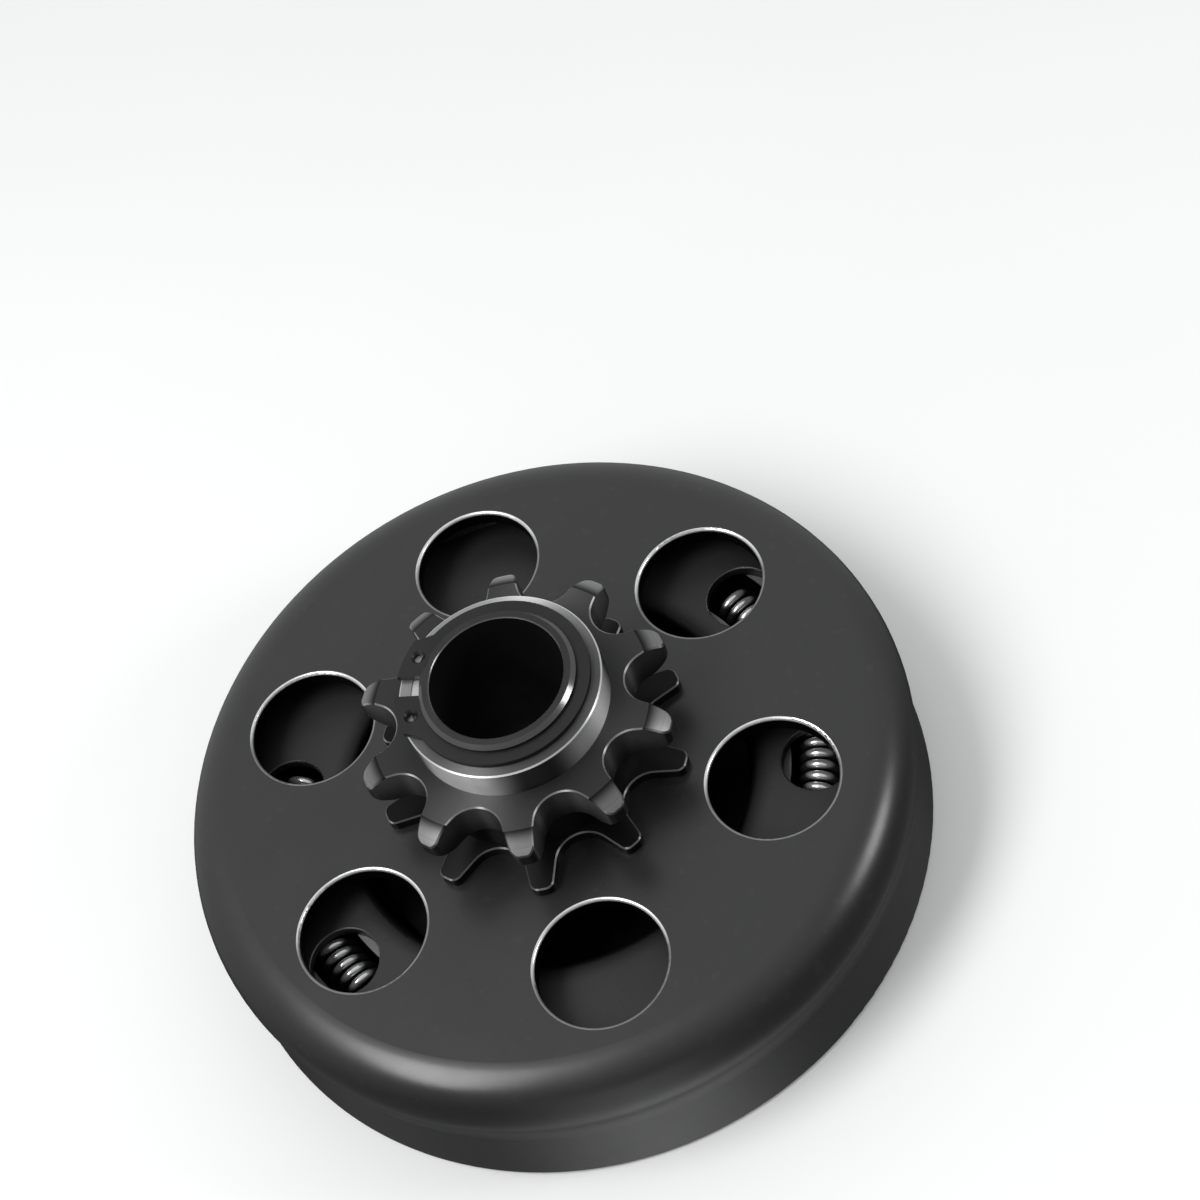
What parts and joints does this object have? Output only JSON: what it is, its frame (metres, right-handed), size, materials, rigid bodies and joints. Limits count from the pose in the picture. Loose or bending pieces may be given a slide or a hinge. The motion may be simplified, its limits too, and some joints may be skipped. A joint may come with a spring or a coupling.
{
  "type": "sprocket clutch",
  "caption": "Centrifugal clutch with a pressed drum with round windows, a chain sprocket on its boss, and sprung friction shoes inside.",
  "frame": {"origin": "on the bore's axis, in the plane of the drum's open rim", "axes": "+Z along the bore towards the sprocket's free end; +X through the middle of one window"},
  "size_m": [0.108, 0.108, 0.0448],
  "materials": {
    "drum_paint": "satin black coating",
    "black_steel": "black oxide, boss turned bright",
    "bronze": "plain, oiled",
    "hub_steel": "black oxide, oiled",
    "washer_steel": "plain",
    "spring_steel": "phosphated, oiled",
    "shoe_metal": "as cast, fine",
    "friction_lining": "moulded friction material",
    "spring_wire": "oil-tempered black wire, glossy"
  },
  "bodies": {
    "drum_group": {"drum": "drum_paint", "sprocket": "black_steel", "bushing": "bronze"},
    "hub_group": {"hub": "hub_steel", "thrust_washer": "washer_steel", "front_snap_ring": "spring_steel", "back_plate": "washer_steel", "back_snap_ring": "spring_steel", "spring_a": "spring_wire", "spring_b": "spring_wire"},
    "shoe_a_group": {"shoe_a": "shoe_metal", "lining_a": "friction_lining"},
    "shoe_b_group": {"shoe_b": "shoe_metal", "lining_b": "friction_lining"}
  },
  "joints": [
    {"name": "hub_spin", "type": "hinge", "parent": "drum_group", "child": "hub_group", "pos_m": [0, 0, 0], "axis": [0, 0, 1], "continuous": true},
    {"name": "shoe_a_slide", "type": "slide", "parent": "hub_group", "child": "shoe_a_group", "axis": [0.4462, 0.8949, 0], "range_m": [0, 0.0009], "stiffness_N_per_m": 6000, "springref_m": -0.001},
    {"name": "shoe_b_slide", "type": "slide", "parent": "hub_group", "child": "shoe_b_group", "axis": [-0.4462, -0.8949, 0], "range_m": [0, 0.0009], "stiffness_N_per_m": 6000, "springref_m": -0.001}
  ],
  "couplings": [
    {"joint": "shoe_b_slide", "follows": "shoe_a_slide", "ratio": 1}
  ]
}
